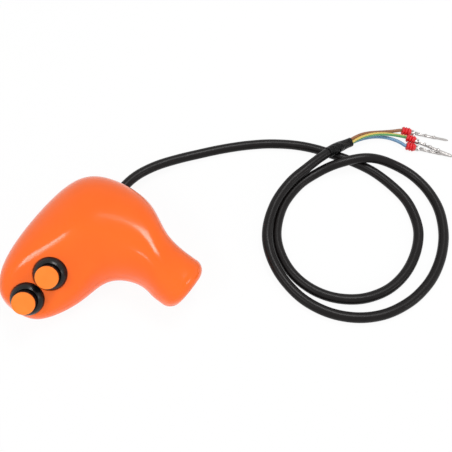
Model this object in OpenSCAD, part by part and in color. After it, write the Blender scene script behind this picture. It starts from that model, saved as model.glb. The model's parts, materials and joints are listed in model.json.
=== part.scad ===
// Control-lever handle with two push buttons and a free three-core lead.
// The grip lies on its flattened side: Z is up, X runs along its length and Y points away from the buttons.
// The origin is below the middle of the grip. All lengths are in millimetres and all angles in degrees.

/* [Grip] */
// Length of the grip along X
grip_length = 115; // [98:1:138]
// Depth of the grip along Y
grip_depth = 85; // [72:1:102]
// Height of the grip at the palm
grip_height = 47; // [42:1:56]
// Wall of the moulded shells
wall = 3; // [2.6:0.1:3.6]
// Squareness of the cross-sections, where 2 is an ellipse
section_power = 2.35; // [2.1:0.05:2.6]
// Diameter of the neck at its end
neck_d = 31; // [29:0.5:37]
// Rounding of the neck's end edge
neck_edge_r = 7; // [5:0.5:8]
// Downward lean of the neck at its end
neck_dip = 22; // [18:1:26]
// Height of the locating lip along the parting line
lip_h = 1.5; // [1:0.1:2]
// Gap between the two shells
parting_gap = 0.1; // [0.05:0.05:0.2]

/* [Push buttons] */
// Distance between the two button axes
button_pitch = 19.4; // [19.2:0.1:22]
// Lean of the button axes from vertical
button_lean = 40; // [35:1:45]
// Diameter of the round bezel
bezel_d = 19; // [17:0.5:19]
// Height of the bezel above its seat
bezel_h = 4; // [3.6:0.2:5]
// Diameter of the threaded bushing below the bezel
bushing_d = 13.8; // [13.4:0.1:15]
// Diameter of the switch body behind the nut
switch_d = 13; // [12.6:0.1:13.2]
// Depth of the switch body below its seat
switch_depth = 14; // [12.5:0.5:15]
// Diameter of the cap
cap_d = 12.8; // [12:0.1:13.8]
// Height of the cap's top above the seat
cap_top = 9.2; // [8:0.1:9.5]
// Travel of the cap when it is pressed
cap_travel = 2.5; // [2:0.1:2.8]

/* [Lever socket] */
// Tapping diameter of the lever thread
socket_d = 10.2; // [8.5:0.1:12]
// Depth of the lever thread
socket_depth = 20; // [14:1:21]
// Size of the insert across its flats
insert_flats = 17; // [16:0.5:19]
// Length of the insert
insert_length = 24; // [20:1:26]

/* [Lead] */
// Diameter of the sheathed cable
cable_d = 6.3; // [5.5:0.1:6.6]
// Diameter of one insulated core
core_d = 2.3; // [1.8:0.1:2.5]
// Diameter of the shrunk sleeve at the cable's end
sleeve_d = 7.4; // [7:0.1:8]
// Height of the cable's exit above the floor
exit_z = 10; // [9.5:0.5:10.5]
// Heading of the cable where it leaves the grip
exit_heading = 58; // [52:1:68]
// Diameter over the ribs of a wire seal
seal_d = 5.7; // [5:0.1:6]
// Length of a crimped contact in front of its seal
contact_length = 26; // [22:1:30]

/* [Fasteners] */
// Shank diameter of the shell screws
screw_d = 3; // [2.5:0.1:3.5]
// Head diameter of the shell screws
screw_head_d = 5.6; // [5:0.1:6]
// Running clearance between pieces that move or slip together
fit = 0.05; // [0.03:0.01:0.1]

/* [Hidden] */
$fn = 48;

// Splines: a uniform cubic through its end values, for numbers and for rows of numbers
function with_ends(p) = concat([2 * p[0] - p[1]], p, [2 * p[len(p) - 1] - p[len(p) - 2]]);
function spline(p, t) =
    let (q = with_ends(p), n = len(p) - 1, u = min(max(t * n, 0), n - 0.00001), i = floor(u), f = u - i)
    ((1 - f) ^ 3 * q[i] + (3 * f ^ 3 - 6 * f ^ 2 + 4) * q[i + 1]
        + (-3 * f ^ 3 + 3 * f ^ 2 + 3 * f + 1) * q[i + 2] + f ^ 3 * q[i + 3]) / 6;
function unit(v) = v / norm(v);
function smooth(x) = let (c = min(max(x, 0), 1)) c * c * (3 - 2 * c);
function soft_max(x, k) = x > 20 * k ? x : k * ln(1 + exp(x / k));
function spread(v, power) = sign(v) * abs(v) ^ (2 / power);

// Rails of the grip, from the rounded nose to the neck. Each row holds a point of the far rail, a point of
// the near rail, the height of the middle line, and the depths above and below it as shares of the half
// width.
drawn = [115, 85, 47];
sx = grip_length / drawn[0];
sy = grip_depth / drawn[1];
sz = grip_height / drawn[2];
depth_scale = sz / sqrt(sx * sy);
neck_r = neck_d / 2;
neck_z = neck_r * cos(neck_dip) + 2;
neck_heading = -33.5;
neck_axis = [cos(neck_heading), sin(neck_heading)];
neck_side = [-sin(neck_heading), cos(neck_heading)];
neck_end = [45.5 * sx, -21 * sy];
neck_line = [neck_axis[0] * cos(neck_dip), neck_axis[1] * cos(neck_dip), -sin(neck_dip)];
dip_start = 0.62;
palm_rows = [
    [-47, -37, -47, -37, 13, 1.05, 0.75],
    [-59, -30, -35, -44, 13, 1.05, 0.75],
    [-57, -4.5, -13.5, -32.5, 13.5, 1.0, 0.68],
    [-24.5, 41.5, -6.5, -27, 17, 0.9, 0.6],
    [-2, 47.5, 4, -17, 18.5, 0.88, 0.62],
    [30, 27.5, 22.5, -21, 20.5, 0.9, 0.8]
];
stations = concat(
    [for (r = palm_rows)
        [r[0] * sx, r[1] * sy, r[2] * sx, r[3] * sy, r[4] * sz, r[5] * depth_scale, r[6] * depth_scale]],
    [[33.5 * sx, 3 * sy, 32 * sx, -30.5 * sy, neck_z + 5.6, 1, 1]],
    [concat(neck_end + neck_r * neck_side, neck_end - neck_r * neck_side, [neck_z, 1, 1])]
);

// The flat panel that carries the buttons, and the line of their centres on it
button_heading = -84.6;
row_heading = 41;
panel_normal = [
    sin(button_lean) * cos(button_heading), sin(button_lean) * sin(button_heading), cos(button_lean)
];
row_plan = [cos(row_heading), sin(row_heading)];
row_rise = -(panel_normal[0] * row_plan[0] + panel_normal[1] * row_plan[1]) / panel_normal[2];
row_axis = unit([row_plan[0], row_plan[1], row_rise]);
first_seat = [-25.2 * sx, -22.5 * sy, 30.8 * sz];
seat_depth = 0.5;

// Section of the skin at t, moved in by inset: middle point, half width, height, the depths above and
// below, and how far the section leans. The sections lean more and more towards the neck's end.
function rail_slope(t, k) =
    let (a = spline(stations, max(t - 0.005, 0)), b = spline(stations, min(t + 0.005, 1)))
    unit([b[k] - a[k], b[k + 1] - a[k + 1]]);
function section(t, inset) =
    let (s = spline(stations, t), far = rail_slope(t, 0), near = rail_slope(t, 2),
        u = [s[0] + inset * far[1], s[1] - inset * far[0]],
        l = [s[2] - inset * near[1], s[3] + inset * near[0]],
        half = (u - l) / 2, a = norm(half))
    [(u + l) / 2, half, s[4], s[5] * a, s[6] * a, neck_dip * smooth((t - dip_start) / (1 - dip_start))];

// The panel is pressed flat above the middle line and fades out towards the neck. The belly is pressed flat
// on the floor.
panel_across = [-sin(button_heading), cos(button_heading), 0];
function flatten(p, mid, inset) =
    let (fade = 1 - smooth(((p - first_seat) * panel_across - 14) / 26),
        lift = fade * smooth((p[2] - mid) / 6),
        over = (p - first_seat) * panel_normal - seat_depth + inset,
        q = p - panel_normal * lift * soft_max(over, 1.5),
        z = q[2] - inset)
    [q[0], q[1], inset + max(0, soft_max(z, 1.2) - 0.25 * (1 - smooth(z / 6)))];

// One point of the skin. Rows past the last section round the neck's end edge.
section_count = 34;
edge_count = 5;
row_count = section_count + edge_count;
function row_t(i) = min(i + 1, section_count) / section_count;
function skin_point(i, turn, inset) =
    let (s = section(row_t(i), inset),
        a = norm(s[1]),
        r = neck_edge_r - inset,
        k = edge_turn(i),
        shrink = 1 - r * (1 - cos(k)) / a,
        ahead = r * sin(k),
        across = s[1] * spread(cos(turn), section_power) * shrink,
        rise = spread(sin(turn), section_power) * shrink * (turn > 180 ? s[4] : s[3]),
        lean = sin(s[5]) * rise / a,
        x = s[0][0] + across[0] + lean * s[1][1] + neck_line[0] * ahead,
        y = s[0][1] + across[1] - lean * s[1][0] + neck_line[1] * ahead,
        mid = s[2] + neck_line[2] * ahead)
    flatten([x, y, mid + cos(s[5]) * rise], mid, inset);
function nose(inset) =
    let (s = section(0, inset)) [s[0][0], s[0][1], s[2]];

// The origin is below the middle of the grip's box, which the lower cap reaches past at the near side
outline = [for (i = [0 : row_count - 1], turn = [0 : 20 : 340]) skin_point(i, turn, 0)];
second_seat = first_seat - row_axis * button_pitch;
cap_reach = second_seat[1] + cap_top * panel_normal[1] - cap_d / 2 * sqrt(1 - panel_normal[1] ^ 2);
x_low = min([for (p = outline) p[0]]);
x_high = max([for (p = outline) p[0]]);
y_low = min(min([for (p = outline) p[1]]), cap_reach);
collar_out = 0.4;
collar_outer_r = 6;
exit_t = 0.58;
exit_section = section(exit_t, 0);
exit_drop = (exit_section[2] - exit_z) / exit_section[4];
exit_across = (1 - exit_drop ^ section_power) ^ (1 / section_power);
exit_plan = exit_section[0] + exit_section[1] * exit_across;
collar_reach = exit_plan[1] + collar_out * sin(exit_heading) + collar_outer_r * cos(exit_heading);
y_high = max(max([for (p = outline) p[1]]), collar_reach);
shift = [-(x_low + x_high) / 2, -(y_low + y_high) / 2, 0];
function seat(k) = shift + (k == 1 ? first_seat : second_seat);
neck_point = shift + [neck_end[0], neck_end[1], neck_z] + neck_edge_r * neck_line;

// Half shells: an outer skin, an inner skin and a stepped rim between them, closed by one set of faces
turn_count = 14;
function rim_z(p, z) = [p[0], p[1], z];
function half_turn(front, j) = front ? 180 * j / turn_count : 360 - 180 * j / turn_count;
function is_rail(j) = j == 0 || j == turn_count;
function edge_turn(i) = 90 * max(i - section_count + 1, 0) / edge_count;
function mid_z(i) = section(row_t(i), 0)[2] + neck_line[2] * neck_edge_r * sin(edge_turn(i));
function skin_rows(front, inset, rim, limit) = [
    for (i = [0 : row_count - 1], j = [0 : turn_count])
        let (p = skin_point(i, half_turn(front, j), inset), level = mid_z(i) + rim)
        shift + (is_rail(j) ? rim_z(p, level) : limit ? rim_z(p, min(p[2], level)) : p)
];
function loop_rows(inset, rim) = [
    for (i = [0 : row_count - 1], turn = [0, 180]) shift + rim_z(skin_point(i, turn, inset), mid_z(i) + rim)
];
function nose_at(inset, rim) = [shift + nose(inset) + [0, 0, rim]];
columns = turn_count + 1;
grid_size = row_count * columns;
loop_size = 2 * row_count;
function quad(a, b, c, d) = [[a, b, c], [a, c, d]];
function grid_faces(start, tip) = [
    for (i = [0 : row_count - 2], j = [0 : turn_count - 1])
        let (a = start + i * columns + j)
        each quad(a, a + columns, a + columns + 1, a + 1),
    for (j = [0 : turn_count - 1]) [tip, start + j, start + j + 1],
    for (j = [1 : turn_count - 1])
        let (last = start + (row_count - 1) * columns) [last, last + j + 1, last + j]
];
function grid_loop(start, tip) = concat(
    [tip], [for (i = [0 : row_count - 1]) start + i * columns],
    [for (i = [row_count - 1 : -1 : 0]) start + i * columns + turn_count]
);
function rail_loop(start, tip) = concat(
    [tip], [for (i = [0 : row_count - 1]) start + 2 * i],
    [for (i = [row_count - 1 : -1 : 0]) start + 2 * i + 1]
);
function strip(a, b) = [
    for (k = [0 : len(a) - 1]) let (n = (k + 1) % len(a)) each quad(a[k], b[k], b[n], a[n])
];
function flipped(faces) = [for (f = faces) [for (i = [len(f) - 1 : -1 : 0]) f[i]]];

module half_shell(front) {
    rim = front ? parting_gap : 0;
    ledge = front ? -lip_h : -lip_h - parting_gap;
    step = wall / 2 + (front ? parting_gap : 0);
    points = concat(
        skin_rows(front, 0, rim, false), nose_at(0, rim),
        skin_rows(front, wall, ledge, !front), nose_at(wall, ledge),
        loop_rows(step, rim), nose_at(step, rim),
        loop_rows(step, ledge), nose_at(step, ledge)
    );
    inner = grid_size + 1;
    upper = 2 * inner;
    lower = upper + loop_size + 1;
    outer_loop = grid_loop(0, grid_size);
    inner_loop = grid_loop(inner, inner + grid_size);
    upper_loop = rail_loop(upper, upper + loop_size);
    lower_loop = rail_loop(lower, lower + loop_size);
    faces = concat(
        grid_faces(0, grid_size),
        flipped(grid_faces(inner, inner + grid_size)),
        strip(outer_loop, upper_loop),
        strip(upper_loop, lower_loop),
        strip(lower_loop, inner_loop)
    );
    polyhedron(points, front ? faces : flipped(faces), convexity = 10);
}

// Places: along a line, on a switch, at the neck and at the cable's exit
function turn_to(v) = [0, acos(v[2] / norm(v)), atan2(v[1], v[0])];
module along(point, direction) {
    translate(point)
        rotate(turn_to(direction))
            children();
}
module at_switch(k) {
    x = row_axis;
    z = panel_normal;
    y = cross(z, x);
    p = seat(k);
    multmatrix([
        [x[0], y[0], z[0], p[0]], [x[1], y[1], z[1], p[1]], [x[2], y[2], z[2], p[2]], [0, 0, 0, 1]
    ])
        children();
}
function on_switch(k, v) =
    seat(k) + v[0] * row_axis + v[1] * cross(panel_normal, row_axis) + v[2] * panel_normal;
module at_neck() {
    translate(neck_point)
        rotate([0, 90 + neck_dip, neck_heading])
            children();
}
exit_point = shift + [exit_plan[0], exit_plan[1], exit_z];
exit_axis = [cos(exit_heading), sin(exit_heading), 0];
exit_side = [sin(exit_heading), -cos(exit_heading), 0];
function on_exit(side, height, out) = exit_point + side * exit_side + [0, 0, height] + out * exit_axis;
module at_exit() {
    translate(exit_point)
        rotate([90, 0, exit_heading + 90])
            children();
}

// Screw posts: each row holds t, the share of the half width across, and the depth of its top below the
// crest
post_r = screw_d / 2 + 2.1;
post_foot_r = screw_head_d / 2 + 1.8;
head_seat = 4.5;
screw_reach = 9;
posts = [[0.28, 0.47, 3.4], [0.43, 0.46, 3.2], [0.65, 0.34, 2.6], [0.53, -0.4, 3]];
function post_place(p) = let (s = section(p[0], 0)) shift + [
    s[0][0] + s[1][0] * p[1], s[0][1] + s[1][1] * p[1], s[2]
];
function crest(p) = let (s = section(p[0], 0))
    s[2] + s[3] * (1 - abs(p[1]) ^ section_power) ^ (1 / section_power);

// Half of a rib that follows the neck's section and carries the insert
rib_t = 2;
module neck_rib(t, front) {
    s = section(t, 0);
    bite = wall * 0.45;
    a = norm(s[1]) - bite;
    depth = (front ? s[3] : -s[4]) + (front ? -bite : bite);
    start = front ? 0.7 : -lip_h - 0.8;
    outline = [for (k = [0 : 12]) let (turn = 15 * k)
        [a * spread(cos(turn), section_power), depth * spread(sin(turn), section_power)]];
    translate(shift + [s[0][0], s[0][1], s[2]])
        rotate([90, 0, atan2(s[1][1], s[1][0])])
        rotate([s[5], 0, 0])
            translate([0, 0, -rib_t / 2])
                linear_extrude(rib_t)
                    intersection() {
                        polygon(outline);
                        translate([-2 * a, front ? start : -2 * a])
                            square([4 * a, 2 * a + (front ? 0 : start)]);
                    }
}
ribs = [0.97, 0.91, 0.85];
collar_r = insert_flats / 2 - 0.5;
collar_h = neck_edge_r;
module hexagon(flats, height) {
    cylinder(r = flats / 2 / cos(30), h = height, $fn = 6);
}
module insert_room() {
    at_neck()
        rotate([180, 0, 0])
            union() {
                translate([0, 0, -5])
                    cylinder(r = collar_r + 2 * fit, h = collar_h + 10);
                translate([0, 0, collar_h - fit])
                    hexagon(insert_flats + 4 * fit, insert_length - collar_h + 4 * fit);
            }
}

// Shells
hole_r = bushing_d / 2 + 0.15;
nut_flats = 17;
nut_h = 2.5;
panel_t = 2.4;
module front_shell() {
    color([1, 0.45, 0.18])
    difference() {
        union() {
            half_shell(true);
            for (p = posts)
                translate(post_place(p) + [0, 0, parting_gap / 2])
                    cylinder(r = post_r, h = crest(p) - post_place(p)[2] - p[2]);
            for (t = ribs)
                neck_rib(t, true);
        }
        for (k = [1, 2])
            at_switch(k) {
                translate([0, 0, -12])
                    cylinder(r = hole_r, h = 30);
                cylinder(r = bezel_d / 2 + 0.3, h = 12);
                translate([0, 0, -panel_t - nut_h - 0.6])
                    cylinder(r = nut_flats / 2 / cos(30) + 0.3, h = nut_h + 0.6);
            }
        for (p = posts)
            translate(post_place(p) - [0, 0, 2])
                cylinder(r = screw_d / 2 + fit, h = screw_reach + 3);
        insert_room();
    }
}

collar_in = -6;
bore_r = 4.2;
barb_r = bore_r + 0.6;
barb_h = 1.4;
clamp_out = [-21, -14];
clamp_half = 9;
clamp_screw_x = 6.4;
clamp_screw_r = 1.2;
module rear_shell() {
    color([1, 0.45, 0.18])
    difference() {
        union() {
            half_shell(false);
            for (p = posts) {
                translate([post_place(p)[0], post_place(p)[1], wall / 2])
                    cylinder(r = post_r, h = post_place(p)[2] - parting_gap / 2 - wall / 2);
                translate([post_place(p)[0], post_place(p)[1], wall - 0.4])
                    cylinder(r = post_foot_r, h = head_seat + 2.9 - wall);
            }
            for (t = ribs)
                neck_rib(t, false);
            at_exit()
                translate([0, 0, collar_in])
                    cylinder(r = collar_outer_r, h = collar_out - collar_in);
            at_exit()
                translate([-clamp_half, wall - 0.3 - exit_z, clamp_out[0]])
                    cube([2 * clamp_half, exit_z - wall + 0.2, clamp_out[1] - clamp_out[0]]);
        }
        for (p = posts)
            translate([post_place(p)[0], post_place(p)[1], -1]) {
                cylinder(r = screw_head_d / 2 + 0.3, h = head_seat + 1);
                cylinder(r = screw_d / 2 + 0.2, h = 60);
            }
        at_exit() {
            translate([0, 0, clamp_out[0] - 6])
                cylinder(r = cable_d / 2 + fit, h = clamp_out[1] - clamp_out[0] + 8);
            translate([0, 0, collar_in - 3])
                cylinder(r = bore_r, h = 20);
            translate([0, 0, collar_in - barb_h - 0.3])
                cylinder(r = barb_r + 0.1, h = barb_h + 0.3);
            translate([0, 0, collar_out])
                cylinder(r = collar_outer_r - 0.2, h = 8);
        }
        for (x = [-clamp_screw_x, clamp_screw_x])
            translate(on_exit(x, 0, (clamp_out[0] + clamp_out[1]) / 2) + [0, 0, wall + 1 - exit_z])
                cylinder(r = clamp_screw_r + fit, h = 10);
        insert_room();
    }
}

module shell_screws() {
    color([0.6, 0.6, 0.62])
    for (p = posts)
        translate([post_place(p)[0], post_place(p)[1], head_seat])
            difference() {
                union() {
                    translate([0, 0, -2.4])
                        cylinder(r = screw_head_d / 2, h = 2.4);
                    cylinder(r = screw_d / 2, h = post_place(p)[2] - head_seat + screw_reach);
                }
                translate([0, 0, -2.5])
                    cylinder(r = screw_head_d / 4.5, h = 1.5, $fn = 6);
            }
}

module lever_insert() {
    color([0.7, 0.68, 0.6])
    at_neck()
        rotate([180, 0, 0])
            difference() {
                union() {
                    translate([0, 0, 0.2])
                        cylinder(r = collar_r, h = collar_h);
                    translate([0, 0, collar_h + fit])
                        hexagon(insert_flats, insert_length - collar_h);
                }
                translate([0, 0, -1])
                    cylinder(r = socket_d / 2, h = socket_depth + 1);
                translate([0, 0, -1])
                    cylinder(r1 = socket_d / 2 + 2.2, r2 = socket_d / 2, h = 2.2);
            }
}

// Push switches. Heights are measured along the axis from the seat on the shell.
bezel_r = bezel_d / 2;
bushing_r = bushing_d / 2;
switch_r = switch_d / 2;
cap_r = cap_d / 2;
well_r = cap_r + 2 * fit;
web = [-1.2, 0.8];
stem_r = 2.2;
chamber_r = switch_r - 1.3;
base_h = 3;
rim_r = 5.7;
rim_centre = [bezel_r - 5.5, bezel_h - 5.2];
bushing_h = 7;
ring_r = 0.42;
ring_seat_r = (bezel_r + bushing_r) / 2 - 0.1;
module housing(k) {
    color([0.1, 0.1, 0.1])
    at_switch(k)
    rotate_extrude()
        difference() {
            union() {
                square([bushing_r, bezel_h / 2]);
                square([bezel_r, 0.3]);
                intersection() {
                    translate(rim_centre)
                        circle(r = rim_r);
                    square([bezel_r, bezel_h]);
                }
                translate([0, -bushing_h])
                    square([bushing_r, bushing_h]);
                translate([0, -switch_depth])
                    square([switch_r, switch_depth]);
            }
            translate([0, web[1]])
                square([well_r, bezel_h]);
            translate([0, web[0] - 0.5])
                square([stem_r + fit, 5]);
            translate([0, -switch_depth - 1])
                square([chamber_r, switch_depth + 1 + web[0]]);
            translate([ring_seat_r - ring_r, -1])
                square([2 * ring_r, 1 + 2 * ring_r - 0.02]);
        }
}
module seal_ring(k) {
    color([0.2, 0.2, 0.2])
    at_switch(k)
    translate([0, 0, ring_r - 0.01])
        rotate_extrude()
            translate([ring_seat_r, 0])
                circle(r = ring_r - 0.02);
}
module lock_nut(k) {
    color([0.75, 0.75, 0.77])
    at_switch(k)
    translate([0, 0, -panel_t - nut_h])
        difference() {
            rotate([0, 0, 30])
                hexagon(nut_flats, nut_h);
            translate([0, 0, -1])
                cylinder(r = bushing_r + fit, h = nut_h + 2);
        }
}

// The cap stands on the plunger's stem, and the plunger's collar stops under the housing's web
cap_low = web[1] + cap_travel + 0.2;
face_t = 0.9;
spigot_r = 4;
spigot_h = 0.8;
stem_top = cap_top - face_t - spigot_h - 0.8;
collar_r_in = chamber_r - 2 * fit;
collar_top = web[0] - fit;
bridge_top = collar_top - 1.5 - 1.6;
bridge_t = 0.6;
spring_low = -switch_depth + base_h;
module cap(k) {
    color([0.1, 0.1, 0.1])
    at_switch(k)
    difference() {
        translate([0, 0, cap_low])
            cylinder(r = cap_r, h = cap_top - face_t - cap_low);
        translate([0, 0, cap_low - 1])
            cylinder(r = stem_r + fit, h = stem_top + fit - cap_low + 1);
        translate([0, 0, cap_top - face_t - spigot_h])
            cylinder(r = spigot_r, h = spigot_h + 1);
    }
}
// The coloured face of the cap, moulded on the cap with a spigot
module cap_face(k) {
    color([1, 0.5, 0.2])
    at_switch(k)
    rotate_extrude()
        union() {
            square_with_corner(cap_r, cap_top - face_t, cap_top, 0.4);
            translate([0, cap_top - face_t - spigot_h + fit])
                square([spigot_r - fit, spigot_h]);
        }
}
// Half profile of a disc with a rounded upper edge
module square_with_corner(r, low, high, corner) {
    translate([0, low])
        square([r, high - low - corner]);
    translate([0, low])
        square([r - corner, high - low]);
    translate([r - corner, high - corner])
        intersection() {
            circle(r = corner);
            square(corner);
        }
}
module plunger(k) {
    color([0.9, 0.9, 0.88])
    at_switch(k) {
        translate([0, 0, collar_top])
            cylinder(r = stem_r, h = stem_top - collar_top);
        translate([0, 0, collar_top - 1.5])
            cylinder(r = collar_r_in, h = 1.5);
        translate([0, 0, bridge_top])
            cylinder(r = 1.6, h = collar_top - 1.5 - bridge_top);
        translate([0, 0, bridge_top - bridge_t - 0.8])
            cylinder(r = 0.9, h = bridge_t + 0.8);
    }
}
terminal_x = 3.2;
module bridge(k) {
    color([0.85, 0.68, 0.35])
    at_switch(k)
    translate([0, 0, bridge_top - bridge_t])
        difference() {
            intersection() {
                translate([-chamber_r, -1.5, 0])
                    cube([2 * chamber_r, 3, bridge_t]);
                cylinder(r = chamber_r - 0.5, h = bridge_t);
            }
            translate([0, 0, -1])
                cylinder(r = 0.9 + fit, h = bridge_t + 2);
        }
}

// A tube swept along points, with the given number of sides
function point_slope(p, i) = unit(p[min(i + 1, len(p) - 1)] - p[max(i - 1, 0)]);
function side_of(d) = unit(cross(d, abs(d[2]) > 0.9 ? [1, 0, 0] : [0, 0, 1]));
function ring_points(p, i, r, sides) =
    let (d = point_slope(p, i), x = side_of(d), y = cross(x, d))
    [for (k = [0 : sides - 1]) let (a = 360 * (k + 0.5) / sides) p[i] + r * (x * cos(a) + y * sin(a))];
module swept_tube(p, r, sides) {
    n = len(p);
    points = [for (i = [0 : n - 1]) each ring_points(p, i, r, sides)];
    walls = [for (i = [0 : n - 2], k = [0 : sides - 1])
        let (a = i * sides + k, b = i * sides + (k + 1) % sides)
        each quad(a, a + sides, b + sides, b)];
    low_end = [for (k = [0 : sides - 1]) k];
    high_end = [for (k = [sides - 1 : -1 : 0]) (n - 1) * sides + k];
    polyhedron(points, flipped(concat(walls, [high_end], [low_end])), convexity = 20);
}

spring_turns = 4;
spring_r = 1.7;
spring_wire_r = 0.22;
module return_spring(k) {
    color([0.8, 0.8, 0.82])
    at_switch(k) {
        low = spring_low + spring_wire_r;
        high = bridge_top - bridge_t - spring_wire_r;
        swept_tube([for (i = [0 : 12 * spring_turns])
            let (a = 30 * i)
            [spring_r * cos(a), spring_r * sin(a), low + (high - low) * i / (12 * spring_turns)]],
            spring_wire_r, 6);
    }
}
terminal_tip = -switch_depth - 2.5;
terminal_head = bridge_top - bridge_t - cap_travel - fit;
module terminal(k, side) {
    color([0.85, 0.68, 0.35])
    at_switch(k)
    translate([side * terminal_x, 0, 0]) {
        translate([-0.4, -1, terminal_tip])
            cube([0.8, 2, terminal_head - 0.5 - terminal_tip]);
        translate([0, 0, terminal_head - 0.5])
            cylinder(r = 1.1, h = 0.5);
    }
}
module base(k) {
    color([0.15, 0.15, 0.15])
    at_switch(k)
    difference() {
        translate([0, 0, -switch_depth])
            cylinder(r = chamber_r - fit, h = base_h);
        for (side = [-1, 1])
            translate([side * terminal_x - 0.4 - fit, -1 - fit, -switch_depth - 1])
                cube([0.8 + 2 * fit, 2 + 2 * fit, base_h + 2]);
    }
}

// Cable entry: a rubber grommet in the collar, and a strap that clamps the cable on its saddle
grommet_tail = 4;
lead_straight = 6;
cable_r = cable_d / 2;
module cable_grommet() {
    color([0.12, 0.12, 0.12])
    at_exit()
    rotate_extrude()
        difference() {
            union() {
                translate([0, collar_in - barb_h])
                    square([barb_r, barb_h]);
                translate([0, collar_in])
                    square([bore_r - fit, collar_out - collar_in]);
                translate([0, collar_out])
                    square([bore_r + 0.5, 0.6]);
                polygon([[0, collar_out + 0.6], [cable_r + 0.8, collar_out + 0.6],
                    [cable_r + 0.5, grommet_tail], [0, grommet_tail]]);
            }
            translate([0, collar_in - 3])
                square([cable_r + fit, grommet_tail - collar_in + 6]);
        }
}
clamp_h = 4.6;
module cable_clamp() {
    color([0.15, 0.15, 0.16])
    at_exit()
    difference() {
        translate([-clamp_half, 0.1, clamp_out[0]])
            cube([2 * clamp_half, clamp_h, clamp_out[1] - clamp_out[0]]);
        translate([0, 0, clamp_out[0] - 1])
            cylinder(r = cable_r + fit, h = clamp_out[1] - clamp_out[0] + 2);
        for (x = [-clamp_screw_x, clamp_screw_x])
            translate([x, 10, (clamp_out[0] + clamp_out[1]) / 2])
                rotate([90, 0, 0])
                    cylinder(r = clamp_screw_r + 0.2, h = 12);
    }
}
module clamp_screws() {
    color([0.75, 0.75, 0.77])
    for (x = [-clamp_screw_x, clamp_screw_x])
        translate(on_exit(x, 0, (clamp_out[0] + clamp_out[1]) / 2) + [0, 0, clamp_h + 0.1]) {
            translate([0, 0, -clamp_h - 4])
                cylinder(r = clamp_screw_r, h = clamp_h + 4);
            difference() {
                cylinder(r = 2.1, h = 1.5);
                translate([0, 0, 0.7])
                    cylinder(r = 1, h = 2, $fn = 6);
            }
        }
}

// Wires inside the grip: each is one curve from the cable's end to a terminal
wire_r = core_d / 2;
cable_inner = -25;
function curve_between(a, b, c, d, t) =
    (1 - t) ^ 3 * a + 3 * (1 - t) ^ 2 * t * b + 3 * (1 - t) * t ^ 2 * c + t ^ 3 * d;
module inner_wire(start, out, end, back) {
    swept_tube([for (i = [0 : 12]) curve_between(start, start + out, end + back, end, i / 12)], wire_r, 8);
}
function core_start(x, z) = on_exit(x, z, cable_inner - 0.15);
function terminal_point(k, x) = on_switch(k, [x, 0, terminal_tip - 0.2]);
module inner_wire_brown() {
    color([0.45, 0.27, 0.14])
    inner_wire(core_start(1.3, -0.9), -11 * exit_axis,
        terminal_point(1, 0.75 - terminal_x), -10 * panel_normal);
}
module inner_wire_blue() {
    color([0.2, 0.4, 0.65])
    inner_wire(core_start(0, 1.4), -8 * exit_axis, terminal_point(1, terminal_x), -5 * panel_normal);
}
module inner_wire_green() {
    color([0.4, 0.6, 0.25])
    inner_wire(core_start(-1.3, -0.9), -15 * exit_axis, terminal_point(2, -terminal_x), -5 * panel_normal);
}
module link_wire() {
    beside = 0.4 + wire_r + fit;
    color([0.45, 0.27, 0.14])
    inner_wire(on_switch(1, [-terminal_x - beside, 0, terminal_tip + 1.2]), -8 * panel_normal,
        on_switch(2, [terminal_x + beside, 0, terminal_tip + 1.2]), -8 * panel_normal);
}

// Route of the cable on the floor, seen from above, with the height of its middle
cable_route = [
    [11.5, 55.8, 9.3], [20, 63.4, 8.2], [31.4, 70.2, 6.7], [48.6, 77.6, 4.4], [75.6, 85.4, 3.2],
    [101.6, 88.4, 3.2],
    [125.6, 85.9, 3.2], [148.1, 77.4, 3.2], [166.1, 67.4, 3.2], [179.1, 54.9, 3.2], [188.6, 39.9, 3.2],
    [191.6, 19.4, 3.2], [184.6, -1.1, 3.2], [171.6, -16.6, 3.2], [155.1, -24.6, 3.2],
    [137.6, -25.1, 3.2], [121.6, -18.6, 3.2], [109.1, -5.1, 3.2], [103.1, 14.9, 3.2],
    [107.1, 36.4, 3.2], [118.1, 53.4, 3.4], [131.6, 63.4, 4.8], [146.6, 68.9, 8.4], [164.6, 71.9, 9.8],
    [181.6, 69.9, 5.4], [197.1, 58.9, 3.2], [206.6, 38.9, 3.2], [206.6, 15.4, 3.2], [198.1, -7.1, 3.2],
    [183.6, -24.1, 3.2], [165.1, -34.6, 3.2], [146.1, -37.1, 3.2], [128.1, -32.6, 3.2],
    [112.6, -22.1, 3.4], [100.6, -5.1, 5.2], [96.1, 14.9, 7], [101.1, 35.9, 8], [111.6, 52.9, 9.2],
    [124.1, 64.4, 10.5], [133.6, 71.6, 11]
];
sleeve_route = [[138.6, 75.2, 11], [143.6, 78.9, 10.4], [149.1, 82.9, 8.5], [155.1, 87.4, 6.2]];
sleeve_start = unit(sleeve_route[1] - sleeve_route[0]);
function between(p, i, t) =
    let (a = p[max(i - 1, 0)], b = p[i], c = p[i + 1], d = p[min(i + 2, len(p) - 1)])
    (2 * b + (c - a) * t + (2 * a - 5 * b + 4 * c - d) * t ^ 2 + (3 * b - a - 3 * c + d) * t ^ 3) / 2;
cable_points = concat(
    [on_exit(0, 0, cable_inner), on_exit(0, 0, -8), on_exit(0, 0, 4)], [on_exit(0, 0, lead_straight)],
    [for (i = [0 : len(cable_route) - 2], t = [0, 0.5]) between(cable_route, i, t)],
    [sleeve_route[0] - 2 * sleeve_start, sleeve_route[0]]
);
module cable() {
    color([0.13, 0.13, 0.14])
    swept_tube(cable_points, cable_r, 12);
}
module heat_shrink() {
    color([0.08, 0.08, 0.09])
    swept_tube([for (p = sleeve_route) p + 0.05 * sleeve_start], sleeve_d / 2, 12);
}

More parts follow.
